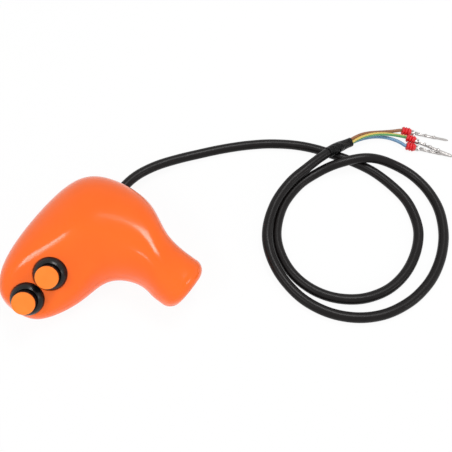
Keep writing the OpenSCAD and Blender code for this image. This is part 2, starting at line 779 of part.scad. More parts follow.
// Free ends: three cores fan out of the sleeve, each through a seal into a crimped contact
core_exit = sleeve_route[len(sleeve_route) - 1];
core_heading = unit(sleeve_route[3] - sleeve_route[2]);
seal_places = [[195.6, 99.2, 3], [198, 92.5, 3], [196.8, 86.1, 3]];
contact_tips = [[224.6, 93.2, 0.9], [222.2, 78.2, 4.3], [223.9, 80, 0.9]];
seal_length = 6.5;
function contact_axis(k) = unit(contact_tips[k] - seal_places[k]);
core_side = unit(cross([0, 0, 1], core_heading));
core_up = cross(core_heading, core_side);
module outer_core(k, side, up, out, back) {
    start = core_exit + side * core_side + up * core_up + 0.2 * core_heading;
    end = seal_places[k] - (seal_length / 2 + 0.1) * contact_axis(k);
    leave = start + 0.8 * core_heading;
    reach = end - 0.9 * contact_axis(k);
    swept_tube(concat([start],
        [for (i = [0 : 14])
            curve_between(leave, leave + out[0] * core_heading + [0, 0, out[1]],
                reach + back, reach, i / 14)],
        [end]), wire_r, 8);
}
module core_brown() {
    color([0.5, 0.3, 0.16])
    outer_core(0, 1.2, 0.6, [16, 4.5], [-18, -2.5, -1]);
}
module core_green() {
    color([0.6, 0.65, 0.25])
    outer_core(1, -1.2, 0.6, [14, 5.5], [-14, 1, 3.5]);
}
module core_blue() {
    color([0.25, 0.45, 0.65])
    outer_core(2, 0, -1.5, [25, 2], [-6, 6.5, 0]);
}
seal_r = seal_d / 2;
module wire_seal(k) {
    color([0.85, 0.1, 0.12])
    along(seal_places[k], contact_axis(k))
    rotate_extrude()
        difference() {
            union() {
                translate([0, -seal_length / 2])
                    square([seal_r - 0.8, seal_length - 0.4]);
                for (i = [0 : 2])
                    translate([seal_r - 0.8, -seal_length / 2 + 1 + 1.8 * i])
                        circle(r = 0.8);
            }
            translate([0, -seal_length])
                square([wire_r - 0.1, 2 * seal_length]);
        }
}

// Contact, lying along its own Z: two crimps, a neck, two round lances and a pointed blade
module contact(k) {
    color([0.8, 0.8, 0.8])
    along(seal_places[k], contact_axis(k))
    translate([0, 0, seal_length / 2]) {
        translate([0, 0, -0.3])
            crimp(1.95, 2);
        translate([-1.2, -1.4, 1.6])
            cube([2.4, 0.8, 1.4]);
        translate([0, 0, 2.9])
            crimp(1.3, 4);
        translate([-0.6, -1.2, 6.8])
            cube([1.2, 0.8, 2]);
        translate([-0.7, -1.2, 8.6])
            cube([1.4, 1.4, contact_length - 17]);
        for (z = [10.2, 15.8])
            translate([0, -0.2, z])
                sphere(r = 1.3);
        translate([-0.8, -0.7, contact_length - 9])
            cube([1.6, 0.7, 7.5]);
        translate([0, -0.35, contact_length - 1.6])
            rotate([90, 0, 0])
                linear_extrude(0.7, center = true)
                    polygon([[-0.8, 0], [0.8, 0], [0.25, 1.6], [-0.25, 1.6]]);
    }
}
// A rolled crimp: a tube with a seam along its top
module crimp(r, length) {
    difference() {
        cylinder(r = r, h = length);
        translate([0, 0, -1])
            cylinder(r = r - 0.35, h = length + 2);
        translate([-0.2, 0, -1])
            cube([0.4, r + 1, length + 2]);
    }
}

front_shell();
rear_shell();
shell_screws();
lever_insert();
cable_grommet();
cable_clamp();
clamp_screws();
housing(1);  // housing_1
seal_ring(1);  // seal_ring_1
lock_nut(1);  // lock_nut_1
cap(1);  // cap_1
cap_face(1);  // cap_face_1
plunger(1);  // plunger_1
bridge(1);  // bridge_1
return_spring(1);  // return_spring_1
base(1);  // base_1
terminal(1, 1);  // terminal_a_1
terminal(1, -1);  // terminal_b_1
housing(2);  // housing_2
seal_ring(2);  // seal_ring_2
lock_nut(2);  // lock_nut_2
cap(2);  // cap_2
cap_face(2);  // cap_face_2
plunger(2);  // plunger_2
bridge(2);  // bridge_2
return_spring(2);  // return_spring_2
base(2);  // base_2
terminal(2, 1);  // terminal_a_2
terminal(2, -1);  // terminal_b_2
inner_wire_brown();
inner_wire_blue();
inner_wire_green();
link_wire();
cable();
heat_shrink();
core_brown();
core_green();
core_blue();
wire_seal(0);  // wire_seal_1
wire_seal(1);  // wire_seal_2
wire_seal(2);  // wire_seal_3
contact(0);  // contact_1
contact(1);  // contact_2
contact(2);  // contact_3
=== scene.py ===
# %% [markdown]
# # A control-lever grip with two push buttons and a free cable
#
# The object is the handle at the top of a machine's control lever: two moulded halves, two push
# buttons, and a black cable that ends in three crimped contacts. The CAD model already has every
# piece at its real size and place. Blender's job is the look: smoother skins, softer edges and
# believable finishes. The CAD model is loaded as a fixed frame that all else is placed by.

import json
import math

import bmesh
import bpy
import numpy as np
from mathutils import Matrix, Vector


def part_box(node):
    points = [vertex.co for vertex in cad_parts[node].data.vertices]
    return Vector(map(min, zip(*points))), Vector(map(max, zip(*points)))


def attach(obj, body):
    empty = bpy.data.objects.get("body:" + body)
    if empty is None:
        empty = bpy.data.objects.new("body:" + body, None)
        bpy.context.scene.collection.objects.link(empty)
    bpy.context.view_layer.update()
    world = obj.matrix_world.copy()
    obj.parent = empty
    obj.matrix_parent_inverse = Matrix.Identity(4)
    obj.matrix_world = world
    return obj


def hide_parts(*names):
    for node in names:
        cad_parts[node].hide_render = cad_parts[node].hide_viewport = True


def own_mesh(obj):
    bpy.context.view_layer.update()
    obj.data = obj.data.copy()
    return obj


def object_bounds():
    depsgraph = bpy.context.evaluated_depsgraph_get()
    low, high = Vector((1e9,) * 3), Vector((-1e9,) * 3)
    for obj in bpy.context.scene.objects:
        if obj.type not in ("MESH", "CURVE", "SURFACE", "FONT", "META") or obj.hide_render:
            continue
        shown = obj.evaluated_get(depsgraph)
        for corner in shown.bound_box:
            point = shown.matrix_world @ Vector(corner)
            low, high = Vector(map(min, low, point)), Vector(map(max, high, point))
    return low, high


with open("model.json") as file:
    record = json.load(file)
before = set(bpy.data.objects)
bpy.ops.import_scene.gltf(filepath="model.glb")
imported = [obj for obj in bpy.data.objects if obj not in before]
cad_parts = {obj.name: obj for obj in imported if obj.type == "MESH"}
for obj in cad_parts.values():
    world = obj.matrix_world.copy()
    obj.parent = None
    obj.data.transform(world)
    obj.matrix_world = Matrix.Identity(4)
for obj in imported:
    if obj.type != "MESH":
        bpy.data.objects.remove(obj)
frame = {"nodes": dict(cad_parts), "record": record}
cad_low, cad_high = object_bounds()
MM = 0.001
UP = Vector((0, 0, 1))
print("CAD box in mm:", [round(v / MM, 1) for v in cad_low], [round(v / MM, 1) for v in cad_high])

# %% [markdown]
# ## The camera
#
# A product photograph like this one is taken from above and in front, with the object on a white
# table. The camera stands 396 mm from the point that it looks at, 60 degrees above the table. With
# the camera made first, every later choice can be judged in the picture that counts.

# %% Camera
camera_aim = Vector((0.0716, 0.0259, 0.0))
camera_distance = 0.3958
camera_elevation = math.radians(60)
image_width = 452
focal_pixels = 625

camera_back = Vector((0, -math.cos(camera_elevation), math.sin(camera_elevation)))
camera_data = bpy.data.cameras.new("photo_camera")
camera_data.sensor_width = 36
camera_data.lens = camera_data.sensor_width * focal_pixels / image_width
camera_data.clip_start = 0.01
camera_data.clip_end = 10
camera = bpy.data.objects.new("photo_camera", camera_data)
camera.location = camera_aim + camera_back * camera_distance
camera.rotation_euler = (-camera_back).to_track_quat("-Z", "Y").to_euler()
bpy.context.collection.objects.link(camera)
bpy.context.scene.camera = camera
print("lens", round(camera_data.lens, 1), "mm")

# %% [markdown]
# ## Helpers for making meshes
#
# Most pieces here are one of two kinds: turned pieces, whose profile is spun round an axis, and
# tubes that follow a path. Both can be written as a grid of points, ring after ring, so one helper
# turns any grid into a mesh. Points that meet are merged, which closes the poles of a turned piece,
# and edges sharper than a given angle are marked, so that shading doesn't smear across corners.

# %% Mesh helpers
def clean(mesh, apart, flat):
    """Merges points this close, drops faces this flat, turns the rest outwards and counts open edges."""
    shape = bmesh.new()
    shape.from_mesh(mesh)
    bmesh.ops.remove_doubles(shape, verts=shape.verts, dist=apart)
    bmesh.ops.dissolve_degenerate(shape, edges=shape.edges, dist=flat)
    bmesh.ops.recalc_face_normals(shape, faces=shape.faces)
    open_edges = sum(len(edge.link_faces) != 2 for edge in shape.edges)
    shape.to_mesh(mesh)
    shape.free()
    return open_edges


def shade(piece, sharp_angle):
    """Smooth shading, with the edges sharper than an angle in degrees kept sharp."""
    piece.data.polygons.foreach_set("use_smooth", [True] * len(piece.data.polygons))
    piece.data.set_sharp_from_angle(angle=math.radians(sharp_angle))


def show(name, mesh, sharp_angle):
    piece = bpy.data.objects.new(name, mesh)
    bpy.context.collection.objects.link(piece)
    shade(piece, sharp_angle)
    return piece


def make_piece(name, points, faces, sharp_angle=38):
    """A mesh object from points in metres and faces."""
    mesh = bpy.data.meshes.new(name)
    mesh.from_pydata([tuple(p) for p in points], [], faces)
    clean(mesh, 1e-7, 1e-8)
    return show(name, mesh, sharp_angle)


def grid_faces(rings, sides, closed=True):
    """Four-sided faces between rings of points. Closed rings join their last point to their first."""
    corners = [(k, (k + 1) % sides) for k in range(sides if closed else sides - 1)]
    return [
        (r * sides + a, r * sides + b, (r + 1) * sides + b, (r + 1) * sides + a)
        for r in range(rings - 1) for a, b in corners
    ]


def smooth_step(x):
    """Runs smoothly from 0 to 1 as x does."""
    x = min(max(x, 0), 1)
    return x * x * (3 - 2 * x)


def on_circle(matrix, r, angle, z):
    """A point at a radius, an angle and a height in millimetres, in a matrix's frame."""
    return matrix @ Vector((r * MM * math.cos(angle), r * MM * math.sin(angle), z * MM))


def arc(centre_r, centre_z, radius, start, end, steps):
    """Profile points round a corner, as (radius, height) in millimetres, angles in degrees."""
    angles = np.radians(np.linspace(start, end, steps))
    return [(centre_r + radius * math.cos(a), centre_z + radius * math.sin(a)) for a in angles]


def turned(name, profile, matrix, sides=96, sharp_angle=38, closed=False):
    """Spins a profile of (radius, height) points in millimetres round the Z axis of a matrix."""
    profile = list(profile) + ([profile[0]] if closed else [])
    turns = np.linspace(0, 2 * math.pi, sides, endpoint=False)
    points = [on_circle(matrix, r, a, z) for r, z in profile for a in turns]
    return make_piece(name, points, grid_faces(len(profile), sides), sharp_angle)


def cut(piece, cutter, operation="DIFFERENCE"):
    """Cuts one piece with another, or joins it on, and throws the cutter away."""
    modifier = piece.modifiers.new("cut", "BOOLEAN")
    modifier.operation = operation
    modifier.solver = "EXACT"
    modifier.object = cutter
    bpy.context.view_layer.objects.active = piece
    bpy.ops.object.modifier_apply(modifier=modifier.name)
    bpy.data.objects.remove(cutter)


# %% [markdown]
# ## Helpers for finishes
#
# A moulded or extruded surface is never one flat colour. Its colour drifts a little, its gloss
# varies from patch to patch, and a faint texture breaks up its reflections. All of that comes from
# noise in the object's own space, which stays put when the camera moves. Each finish then states
# only its own numbers.

# %% Finish helpers
def new_finish(name):
    material = bpy.data.materials.new(name)
    material.use_nodes = True
    return material, material.node_tree, material.node_tree.nodes["Principled BSDF"]


def connect(tree, socket, value):
    """Gives a socket a plain value or another node's output."""
    if isinstance(value, bpy.types.NodeSocket):
        tree.links.new(value, socket)
    else:
        socket.default_value = value


def feed(tree, node, **values):
    """Connects a node's inputs, whose names are written with _ for a space. Returns its outputs."""
    for name, value in values.items():
        connect(tree, node.inputs[name.replace("_", " ")], value)
    return node.outputs


def noise(tree, scale, detail=3):
    """A noise texture in object space, with scale in grains per metre."""
    place = tree.nodes.new("ShaderNodeTexCoord").outputs["Object"]
    texture = tree.nodes.new("ShaderNodeTexNoise")
    return feed(tree, texture, Vector=place, Scale=scale, Detail=detail)["Fac"]


def spread_to(tree, value, low, high, start=0.3, end=0.7):
    """Maps a value between start and end to a new range. Noise stays mostly between 0.3 and 0.7."""
    ranges = tree.nodes.new("ShaderNodeMapRange")
    feed(tree, ranges, Value=value, From_Min=start, From_Max=end, To_Min=low, To_Max=high)
    return ranges.outputs["Result"]


def calculate(tree, operation, *values):
    """A Math node. Each value is a number or another node's output."""
    node = tree.nodes.new("ShaderNodeMath")
    node.operation = operation
    for socket, value in zip(node.inputs, values):
        connect(tree, socket, value)
    return node.outputs[0]


def two_colours(tree, value, first, second):
    """Mixes two colours. A Mix node's colours are its inputs 6 and 7 and its output 2."""
    mix = tree.nodes.new("ShaderNodeMix")
    mix.data_type = "RGBA"
    for place, setting in ((0, value), (6, (*first, 1)), (7, (*second, 1))):
        connect(tree, mix.inputs[place], setting)
    return mix.outputs[2]


def bumped(tree, height, strength, depth):
    bump = tree.nodes.new("ShaderNodeBump")
    return feed(tree, bump, Height=height, Strength=strength, Distance=depth)["Normal"]


def surface_finish(name, first, second, rough, grain, texture, patch, depth=0.00002, metal=0, level=0.5):
    """Two close colours, a range of roughness, a fine texture and a reflection level."""
    material, tree, shader = new_finish(name)
    patches = spread_to(tree, noise(tree, patch), 0, 1)
    feed(
        tree, shader,
        Base_Color=two_colours(tree, patches, first, second),
        Roughness=spread_to(tree, noise(tree, grain), *rough),
        Normal=bumped(tree, noise(tree, texture), 0.6, depth),
        Metallic=metal, Specular_IOR_Level=level,
    )
    return material


# %% [markdown]
# ## The cable
#
# The lead is a round PVC cable. It leaves the grip at the far side, lies on the table in two loose
# turns and climbs over itself where they cross. A tube made ring by ring can show the slight lay of
# the three cores under the sheath, which makes a real cable look less like a pipe. The route follows
# the CAD model to within a millimetre, as a smooth curve through every given point, and no point
# lies so low that the cable would sink into the table.

# %% Cable route and tube
cable_diameter = 0.0063
exit_heading = math.radians(58)
exit_axis = Vector((math.cos(exit_heading), math.sin(exit_heading), 0))
grommet_low, grommet_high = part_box("cable_grommet")
tail_radius, tail_length = 0.00365, 0.004
hidden_length, straight_length, sleeve_overlap = 0.002, 0.006, 0.001
exit_point = Vector((
    grommet_high.x - tail_radius * math.sin(exit_heading) - tail_length * exit_axis.x,
    grommet_high.y - tail_radius * math.cos(exit_heading) - tail_length * exit_axis.y,
    (grommet_low.z + grommet_high.z) / 2,
))
lying_height = 3.2
cable_route = [
    (11.5, 55.8, 9.3), (20, 63.4, 8.2), (31.4, 70.2, 6.7), (48.6, 77.6, 4.4), (75.6, 85.4),
    (101.6, 88.4), (125.6, 85.9), (148.1, 77.4), (166.1, 67.4), (179.1, 54.9), (188.6, 39.9),
    (191.6, 19.4), (184.6, -1.1), (171.6, -16.6), (155.1, -24.6), (137.6, -25.1), (121.6, -18.6),
    (109.1, -5.1), (103.1, 14.9), (107.1, 36.4), (118.1, 53.4, 3.4), (131.6, 63.4, 4.8),
    (146.6, 68.9, 8.4), (164.6, 71.9, 9.8), (181.6, 69.9, 5.4), (197.1, 58.9), (206.6, 38.9),
    (206.6, 15.4), (198.1, -7.1), (183.6, -24.1), (165.1, -34.6), (146.1, -37.1), (128.1, -32.6),
    (112.9, -21.8, 3.4), (101.1, -4.8, 5.2), (96.7, 14.9, 7), (101.6, 35.6, 8), (112.1, 52.4, 9.2),
    (124.6, 63.9, 10.5), (133.6, 71.6, 11),
]
sleeve_route = [(138.6, 75.2, 11), (143.6, 78.9, 10.4), (149.1, 82.9, 8.5), (155.1, 87.4, 6.2)]
cable_route, sleeve_route = [
    [Vector((*p, lying_height)[:3]) * MM for p in route] for route in (cable_route, sleeve_route)
]


def through(points, steps):
    """A smooth curve: it passes through every point, with this many steps between two of them."""
    p = [Vector(q) for q in points]
    p = [2 * p[0] - p[1]] + p + [2 * p[-1] - p[-2]]
    curve = []
    for i in range(1, len(p) - 2):
        a, b, c, d = p[i - 1:i + 3]
        for k in range(steps):
            t = k / steps
            curve.append((2 * b + (c - a) * t + (2 * a - 5 * b + 4 * c - d) * t ** 2
                          + (3 * b - a - 3 * c + d) * t ** 3) / 2)
    return curve + [p[-2]]


def path_length(path):
    return sum((b - a).length for a, b in zip(path, path[1:]))


def length_mm(path):
    return round(path_length(path) / MM, 1)


def tube(name, path, radius, sides):
    """Sweeps a ring along a path. radius(along, angle) gives its radius in metres, so it can vary."""
    side = UP.cross(path[1] - path[0]).normalized()
    points, uv = [], []
    total = path_length(path)
    along = 0
    for i, p in enumerate(path):
        along += (p - path[max(i - 1, 0)]).length
        forward = (path[min(i + 1, len(path) - 1)] - path[max(i - 1, 0)]).normalized()
        side = (side - forward * side.dot(forward)).normalized()
        up = forward.cross(side)
        for k in range(sides):
            a = 2 * math.pi * k / sides
            points.append(p + (side * math.cos(a) + up * math.sin(a)) * radius(along / total, a))
            uv.append((k / sides, along))
    faces = grid_faces(len(path), sides)
    corner_uv = [[uv[v] for v in f] for f in faces]
    for c in corner_uv:
        if c[1][0] < c[0][0]:
            c[1], c[2] = (1, c[1][1]), (1, c[2][1])
    faces += [tuple(range(sides))[::-1], tuple(range(len(points) - sides, len(points)))]
    corner_uv += [[(0, 0)] * sides] * 2
    mesh = bpy.data.meshes.new(name)
    mesh.from_pydata([tuple(p) for p in points], [], faces)
    layer = mesh.uv_layers.new(name="round_and_along")
    layer.data.foreach_set("uv", [value for face in corner_uv for pair in face for value in pair])
    return show(name, mesh, 50)


def even(radius):
    """The radius of an evenly thick tube."""
    return lambda along, angle: radius


sleeve_start = (sleeve_route[1] - sleeve_route[0]).normalized()
hidden_start = exit_point - exit_axis * hidden_length
tail_end = exit_point + exit_axis * straight_length
straight = [hidden_start + (tail_end - hidden_start) * k / 4 for k in range(5)]
cable_path = straight[:-1] + through([tail_end] + cable_route, 8)[:-1]
cable_path += [sleeve_route[0] - sleeve_overlap * sleeve_start, sleeve_route[0]]
cable_path = [Vector((p.x, p.y, max(p.z, cable_diameter / 2))) for p in cable_path]
core_lay_length, lay_depth = 0.055, 0.006
cable_turns = path_length(cable_path) / core_lay_length


def cable_radius(along, angle):
    """Three cores lie under the sheath and wind round, so it swells and shrinks by a hair."""
    lay = math.cos(3 * (angle - 2 * math.pi * along * cable_turns))
    return cable_diameter / 2 * (1 - lay_depth + lay_depth * lay)


cable = tube("cable", cable_path, cable_radius, sides=30)
print("cable length", length_mm(cable_path), "mm")

# %% [markdown]
# ## The shrunk sleeve
#
# Where the sheath ends, a heat-shrink sleeve holds the three cores together. It clings to the sheath
# at one end and to the cores at the other, where its section goes from round to three soft lobes.
# Its surface is glossy and puckered. The tube helper takes a radius that varies, so the lobes and
# puckers are a formula.

# %% Shrunk sleeve
sleeve_radius = 0.0037
sleeve_path = through(sleeve_route, 16)
lobes_begin, lobes_grow = 0.45, 0.4
pucker_depth = 0.035
lip_end, lip_rise = 0.06, 0.02


def sleeve_shape(along, angle):
    """The sleeve's radius: round at first, three-lobed at the end, puckered all the way."""
    squeeze = smooth_step((along - lobes_begin) / lobes_grow)
    lobes = 0.82 + 0.1 * math.cos(3 * (angle - 1.1))
    body = (1 - squeeze) * 0.985 + squeeze * lobes
    round_wave = math.sin(11 * angle + 9 * math.sin(5 * along))
    pucker = 0.5 + 0.5 * round_wave * math.sin(34 * along + 2 * math.sin(2 * angle))
    lip = lip_rise if along < lip_end else 0
    return sleeve_radius * (body - pucker_depth * pucker * (0.4 + squeeze) + lip)


sleeve = tube("heat_shrink", sleeve_path, sleeve_shape, sides=48)
print("sleeve length", length_mm(sleeve_path), "mm")

# %% [markdown]
# ## The three cores
#
# Brown, green-and-yellow and blue are the usual colours of a three-core cable. The cores leave the
# sleeve side by side in a low arch and part just before their seals. Each row gives a core's place
# in the sleeve, how far and how high it sets off, and the side from which it comes in.

# %% Cores
core_diameter = 0.0023
seal_places = [Vector(p) * MM for p in [(195.6, 99.2, 3), (198, 92.5, 3), (196.8, 86.1, 3)]]
contact_tips = [Vector(p) * MM for p in [(224.6, 93.2, 0.9), (222.2, 78.2, 4.3), (223.9, 80, 0.9)]]
contact_axes = [(tip - seal).normalized() for tip, seal in zip(contact_tips, seal_places)]
seal_length, seal_gap = 0.0065, 0.0001
core_exit = sleeve_route[3]
core_heading = (sleeve_route[3] - sleeve_route[2]).normalized()
core_side = UP.cross(core_heading).normalized()
core_up = core_heading.cross(core_side)
core_gap, run_out, run_in = 0.0002, 0.0008, 0.0009
core_shapes = [
    ("core_brown", 1.2, 0.6, 16, 4.5, (-18, -2.5, -1)),
    ("core_green", -1.2, 0.6, 14, 5.5, (-14, 1, 3.5)),
    ("core_blue", 0, -1.5, 25, 2, (-6, 6.5, 0)),
]


def curve_between(a, b, c, d, steps):
    """A smooth curve from a to d that sets off towards b and comes in from c."""
    return [
        (1 - t) ** 3 * a + 3 * (1 - t) ** 2 * t * b + 3 * (1 - t) * t ** 2 * c + t ** 3 * d
        for t in (k / steps for k in range(steps + 1))
    ]


core_paths, cores = [], []
for core, seal, axis in zip(core_shapes, seal_places, contact_axes):
    name, sideways, upwards, out, rise, back = core
    start = core_exit + (sideways * core_side + upwards * core_up + core_gap / MM * core_heading) * MM
    end = seal - (seal_length / 2 + seal_gap) * axis
    leave, reach = start + run_out * core_heading, end - run_in * axis
    towards = leave + (out * core_heading + rise * UP) * MM
    path = [start] + curve_between(leave, towards, reach + Vector(back) * MM, reach, 60) + [end]
    core_paths.append(path)
    cores.append(tube(name, path, even(core_diameter / 2), sides=20))
print("core lengths", [length_mm(path) for path in core_paths], "mm")

# %% [markdown]
# ## Wire seals
#
# Each core passes through a red silicone seal. In a plug, its three soft ribs press on the cavity's
# wall and keep water out.

# %% Wire seals
seal_radius = 0.00285


def frame_on(origin, axis):
    """A matrix at a point whose Z axis follows a direction."""
    return Matrix.Translation(origin) @ axis.to_track_quat("Z", "Y").to_matrix().to_4x4()


def seal_profile():
    """In millimetres: up the outside over three ribs, and back down the bore."""
    r = seal_radius / MM
    half = seal_length / MM / 2
    bore = core_diameter / MM / 2 - 0.1
    rib_radius, rib_pitch = 0.8, 1.8
    profile = [(bore, -half)] + arc(r - 0.75, -half + 0.2, 0.2, -90, -30, 4)
    for rib in range(3):
        middle = -half + 1.0 + rib_pitch * rib
        profile += arc(r - rib_radius, middle, rib_radius, -62, 62, 10)
        profile += [(r - 0.72, middle + rib_pitch / 2)] if rib < 2 else []
    profile += arc(r - 0.95, half - 0.45, 0.25, 10, 90, 4)
    return profile + [(bore + 0.35, half - 0.2), (bore, half - 0.35)]


seals = [
    turned(f"wire_seal_{k + 1}", seal_profile(), frame_on(seal, axis), sides=64, closed=True)
    for k, (seal, axis) in enumerate(zip(seal_places, contact_axes))
]
print("seal diameter", 2 * seal_radius / MM, "mm")

# %% [markdown]
# ## Crimped contacts
#
# A contact is one strip of tinned copper alloy. Its rear wings are rolled round the seal, its middle
# wings bite the bare strands, two round lances hold it in its plug, and its blade makes the
# connection. Each wing pair is rolled so that its edges meet and dip in the middle, the way a crimp
# tool leaves them. A contact is built in millimetres along Z, then placed with its seam upwards.

# %% Contacts
contact_length = 26
seam, fold_reach, flatness, mouth_length = 8, 42, 0.94, 0.35


def rolled_wings(z0, z1, radius, metal=0.32, dip=0.45, mouth=0.12):
    """A rolled sheet whose edges meet on top and dip inwards, slightly flared at both mouths."""
    outline = []
    for k in range(41):
        a = math.radians(90 + seam + (360 - 2 * seam) * k / 40)
        from_top = abs(((math.degrees(a) - 90 + 180) % 360) - 180)
        r = radius - dip * max(0, 1 - from_top / fold_reach) ** 1.5
        outline.append((r * math.cos(a), r * math.sin(a) * flatness))
    heights = [(z0, mouth), (z0 + mouth_length, 0), (z1 - mouth_length, 0), (z1, mouth)]
    points, count = [], len(outline)
    for thickness in (0, metal):
        for z, flare in heights:
            for x, y in outline:
                size = 1 - thickness / math.hypot(x, y) + flare / radius
                points.append((x * size, y * size, z))
    inner = 4 * count
    skin = grid_faces(4, count, closed=False)
    faces = skin + [tuple(inner + v for v in f)[::-1] for f in skin]
    rims = [(ring + k, ring + k + 1) for ring in (0, 3 * count) for k in range(count - 1)]
    rims += [(r * count + edge, (r + 1) * count + edge) for edge in (0, count - 1) for r in range(3)]
    faces += [(a, b, inner + b, inner + a) for a, b in rims]
    return points, faces


def softened_strip(sections):
    """A strip along Z from sections (z, width, low, high), with its long edges rounded."""
    points, sides = [], 12
    for z, width, low, high in sections:
        soft = min(0.12, (high - low) / 2.2, width / 3)
        middle, half_w, half_h = (low + high) / 2, width / 2, (high - low) / 2
        for k in range(sides):
            a = 2 * math.pi * (k + 0.5) / sides
            x = math.copysign(half_w - soft, math.cos(a)) + soft * math.cos(a)
            y = middle + math.copysign(half_h - soft, math.sin(a)) + soft * math.sin(a)
            points.append((x, y, z))
    faces = grid_faces(len(sections), sides)
    faces += [tuple(range(sides))[::-1], tuple(range(len(points) - sides, len(points)))]
    return points, faces


def lance(z, width=1.25, radius=1.28, middle=-0.2, rings=13, sides=24):
    """One round lance: a squashed ball that stands out of the strip on both sides."""
    points = []
    for i in range(rings):
        b = math.pi * i / (rings - 1)
        for a in (2 * math.pi * k / sides for k in range(sides)):
            x, lift = width * math.sin(b) * math.cos(a), radius * math.sin(b) * math.sin(a)
            points.append((x, middle + radius * math.cos(b), z + lift))
    return points, grid_faces(rings, sides)


def contact(name, seal, axis):
    shapes = [
        rolled_wings(-0.2, 1.7, 1.95),
        softened_strip([(1.5, 2.0, -1.4, -1.1), (2.1, 1.7, -1.4, -0.6), (3.1, 1.7, -1.4, -0.6)]),
        rolled_wings(2.9, 6.9, 1.3, dip=0.6),
        softened_strip([
            (6.7, 1.3, -1.2, -0.45), (8, 1.2, -1.2, -0.3), (8.6, 1.4, -1.2, 0.2),
            (17.3, 1.4, -1.2, 0.2), (17.8, 1.6, -0.75, 0), (24.3, 1.6, -0.7, 0),
            (25.4, 0.9, -0.6, -0.1), (25.95, 0.45, -0.5, -0.2),
        ]),
        lance(10.2),
        lance(15.8),
    ]
    matrix = frame_on(seal + axis * seal_length / 2, axis)
    points, faces = [], []
    for shape_points, shape_faces in shapes:
        faces += [tuple(len(points) + v for v in face) for face in shape_faces]
        points += [matrix @ (Vector(p) * MM) for p in shape_points]
    return make_piece(name, points, faces, 40)


contacts = [
    contact(f"contact_{k + 1}", seal, axis)
    for k, (seal, axis) in enumerate(zip(seal_places, contact_axes))
]
contact_reach = seal_places[0] + contact_axes[0] * (seal_length / 2 + contact_length * MM)
print("contacts reach", [round(v / MM, 1) for v in contact_reach])

# %% [markdown]
# ## The grip's skin
#
# The grip is a free form, and it is the hardest piece: a broad palm swell, a flat panel for the
# buttons and a round neck that points away at an angle. It is drawn as a loft. Two smooth rails
# follow its outline from above, and at each step along them stands a cross-section, a softened
# ellipse whose upper and lower halves have their own depths. The numbers are the CAD model's. The
# mesh here only takes finer steps, because a glossy skin shows every facet.

# %% Grip: sections
wall = 0.003
section_power = 2.35
neck_radius = 0.0155
neck_edge = 0.007
neck_turn = math.radians(-33.5)
neck_dip = math.radians(22)
dip_start = 0.62
neck_side = np.array([-math.sin(neck_turn), math.cos(neck_turn)])
neck_plan = np.array([math.cos(neck_turn), math.sin(neck_turn)])
neck_line = np.array([*(neck_plan * math.cos(neck_dip)), -math.sin(neck_dip)])
neck_up = np.cross(neck_line, [*neck_side, 0])
neck_end = np.array([0.0455, -0.021])
neck_height = neck_radius * math.cos(neck_dip) + 0.002
station_rows = [
    (-0.047, -0.037, -0.047, -0.037, 0.013, 1.05, 0.75),
    (-0.059, -0.030, -0.035, -0.044, 0.013, 1.05, 0.75),
    (-0.057, -0.0045, -0.0135, -0.0325, 0.0135, 1.0, 0.68),
    (-0.0245, 0.0415, -0.0065, -0.027, 0.017, 0.9, 0.6),
    (-0.002, 0.0475, 0.004, -0.017, 0.0185, 0.88, 0.62),
    (0.030, 0.0275, 0.0225, -0.021, 0.0205, 0.9, 0.8),
    (0.0335, 0.003, 0.032, -0.0305, neck_height + 0.0056, 1.0, 1.0),
    (*(neck_end + neck_radius * neck_side), *(neck_end - neck_radius * neck_side), neck_height, 1, 1),
]


def station(t):
    """The rails and section numbers at t, from a uniform cubic spline through the rows' hull."""
    spans = len(station_rows) - 1
    rows = np.array(station_rows)
    rows = np.vstack([2 * rows[0] - rows[1], rows, 2 * rows[-1] - rows[-2]])
    u = min(max(t * spans, 0), spans - 1e-6)
    i = int(u)
    f = u - i
    return ((1 - f) ** 3 * rows[i] + (3 * f ** 3 - 6 * f ** 2 + 4) * rows[i + 1]
            + (-3 * f ** 3 + 3 * f ** 2 + 3 * f + 1) * rows[i + 2] + f ** 3 * rows[i + 3]) / 6


def section(t, inset, step=0.005):
    """The section at t, moved in by inset: middle, half width, height, depths and lean."""
    s = station(t)
    along = station(min(t + step, 1)) - station(max(t - step, 0))
    far = along[0:2] / np.linalg.norm(along[0:2])
    near = along[2:4] / np.linalg.norm(along[2:4])
    upper = s[0:2] + inset * np.array([far[1], -far[0]])
    lower = s[2:4] + inset * np.array([-near[1], near[0]])
    half = (upper - lower) / 2
    size = np.linalg.norm(half)
    lean = neck_dip * smooth_step((t - dip_start) / (1 - dip_start))
    return (upper + lower) / 2, half, s[4], s[5] * size, s[6] * size, lean


# %% [markdown]
# ## The flat panel and the belly
#
# The buttons need a flat seat, and the grip rests on a flat belly. Both are made by pressing the
# skin against a plane. A plain cut would leave a hard edge, so the press is soft: a point well
# inside the plane stays, a point outside is brought back to it, and between them the distance
# follows a smooth curve. The panel's press fades out towards the neck and the parting line.

# %% Grip: pressed planes
panel_lean = math.radians(40)
panel_heading = math.radians(-84.6)
panel_normal = Vector((
    math.sin(panel_lean) * math.cos(panel_heading),
    math.sin(panel_lean) * math.sin(panel_heading),
    math.cos(panel_lean),
))
panel_across = np.array([-math.sin(panel_heading), math.cos(panel_heading), 0])
panel_above_seat, panel_soft = 0.0005, 0.0015
fade_start, fade_length, side_fade = 0.014, 0.026, 0.006
belly_soft, belly_sink, belly_reach = 0.0012, 0.00025, 0.006
row_heading = math.radians(41)
row_plan = Vector((math.cos(row_heading), math.sin(row_heading), 0))
row_axis = (row_plan - UP * panel_normal.dot(row_plan) / panel_normal.z).normalized()
first_seat = Vector((-0.0252, -0.0225, 0.0308))


def soft_positive(x, reach):
    """x where it is well above 0, 0 where it is well below, and a smooth bend between."""
    return reach * math.log1p(math.exp(x / reach)) if x < 20 * reach else x


